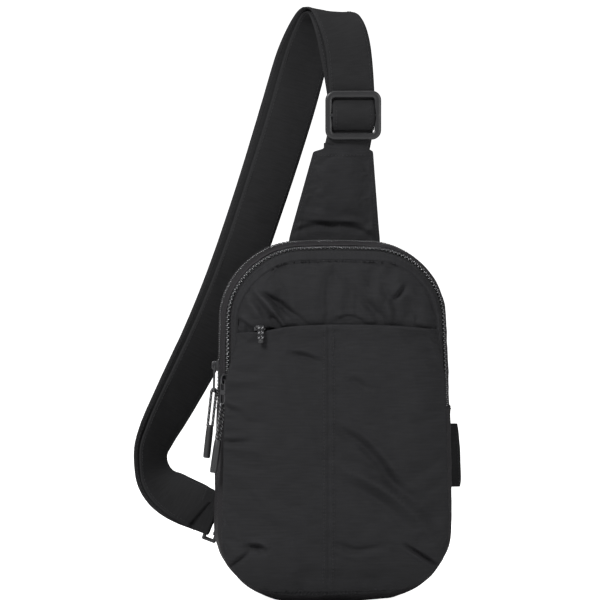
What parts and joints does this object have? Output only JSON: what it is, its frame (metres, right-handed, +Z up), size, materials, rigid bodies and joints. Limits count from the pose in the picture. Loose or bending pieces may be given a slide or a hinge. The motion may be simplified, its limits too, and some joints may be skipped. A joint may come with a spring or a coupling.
{
  "type": "sling bag",
  "caption": "Upright rounded sling bag with two zipped compartments, a front pocket with a concealed zip, a padded yoke and a doubled shoulder strap.",
  "frame": {"origin": "middle of the flat outer back face", "axes": "+Z up, +Y out of the back face towards the wearer, so the front faces -Y; +X to the right seen from the front"},
  "size_m": [0.2703, 0.1186, 0.4799],
  "materials": {
    "nylon": "matte fine-grained nylon",
    "lining": "smooth polyester lining",
    "foam": "open-cell foam",
    "webbing": "edge-stitched nylon strap",
    "zip_tape": "woven zip tape",
    "zip_coil": "glossy nylon coil",
    "metal": "gunmetal, satin",
    "hardware": "moulded black plastic, satin",
    "cord": "braided cord with a reflective fleck"
  },
  "bodies": {
    "bag": {"back_panel": "nylon", "back_foam": "foam", "back_lining": "lining", "rear_gusset": "nylon", "middle_gusset": "nylon", "lower_gusset": "nylon", "front_border": "nylon", "divider": "lining", "main_zip_rear_tape": "zip_tape", "main_zip_rear_coil": "zip_coil", "main_zip_front_tape": "zip_tape", "main_zip_front_coil": "zip_coil", "front_zip_rear_tape": "zip_tape", "front_zip_rear_coil": "zip_coil", "front_zip_front_tape": "zip_tape", "front_zip_front_coil": "zip_coil", "pocket_lining": "lining", "front_panel": "nylon", "pocket_panel_left": "nylon", "pocket_panel_right": "nylon", "pocket_zip_upper_tape": "zip_tape", "pocket_zip_upper_coil": "zip_coil", "pocket_zip_lower_tape": "zip_tape", "pocket_zip_lower_coil": "zip_coil", "lower_tab": "webbing", "side_tab": "webbing"},
    "strap": {"yoke_back": "nylon", "yoke_foam": "foam", "yoke_front": "nylon", "strap_load": "webbing", "strap_return": "webbing", "strap_fold": "webbing", "lower_ring": "metal"},
    "adjuster": {"adjuster": "hardware", "adjuster_wrap": "webbing"},
    "main_slider": {"main_slider": "metal"},
    "main_pull": {"main_link": "metal"},
    "main_cord": {"main_cord": "cord", "main_cord_end": "hardware"},
    "front_slider": {"front_slider": "metal"},
    "front_pull": {"front_link": "metal"},
    "front_cord": {"front_cord": "cord", "front_cord_end": "hardware"},
    "pocket_slider": {"pocket_slider": "metal", "pocket_link": "metal"},
    "pocket_pull": {"pocket_pull": "hardware"}
  },
  "joints": [
    {"name": "main_zip_slide", "type": "slide", "parent": "bag", "child": "main_slider", "axis": [0.0235, 0, 0.9997], "range_m": [-0.022, 0.036]},
    {"name": "main_pull_swing", "type": "hinge", "parent": "main_slider", "child": "main_pull", "pos_m": [-0.09591, -0.019, 0.0451], "axis": [0, 1, 0], "range_deg": [0, 120]},
    {"name": "main_cord_swing", "type": "hinge", "parent": "main_pull", "child": "main_cord", "pos_m": [-0.0964, -0.019, 0.02405], "axis": [0, 1, 0], "range_deg": [0, 60]},
    {"name": "front_zip_slide", "type": "slide", "parent": "bag", "child": "front_slider", "axis": [0.0235, 0, 0.9997], "range_m": [-0.014, 0.045]},
    {"name": "front_pull_swing", "type": "hinge", "parent": "front_slider", "child": "front_pull", "pos_m": [-0.09199, -0.0501, 0.03608], "axis": [-0.5734, 0.8192, 0.0135], "range_deg": [0, 120]},
    {"name": "front_cord_swing", "type": "hinge", "parent": "front_pull", "child": "front_cord", "pos_m": [-0.09248, -0.0501, 0.01504], "axis": [-0.5734, 0.8192, 0.0135], "range_deg": [0, 60]},
    {"name": "pocket_zip_slide", "type": "slide", "parent": "bag", "child": "pocket_slider", "axis": [1, 0, 0], "range_m": [0, 0.126]},
    {"name": "pocket_pull_swing", "type": "hinge", "parent": "pocket_slider", "child": "pocket_pull", "pos_m": [-0.064, -0.071, 0.08], "axis": [-1, 0, 0], "range_deg": [0, 85]},
    {"name": "adjuster_slide", "type": "slide", "parent": "strap", "child": "adjuster", "axis": [-0.03, 0, 0.9995], "range_m": [0, 0.045]},
    {"name": "strap_swing", "type": "hinge", "parent": "bag", "child": "strap", "pos_m": [-0.086, 0.007, -0.082], "axis": [-0.3685, 0.0285, -0.9292], "range_deg": [0, 40]}
  ]
}
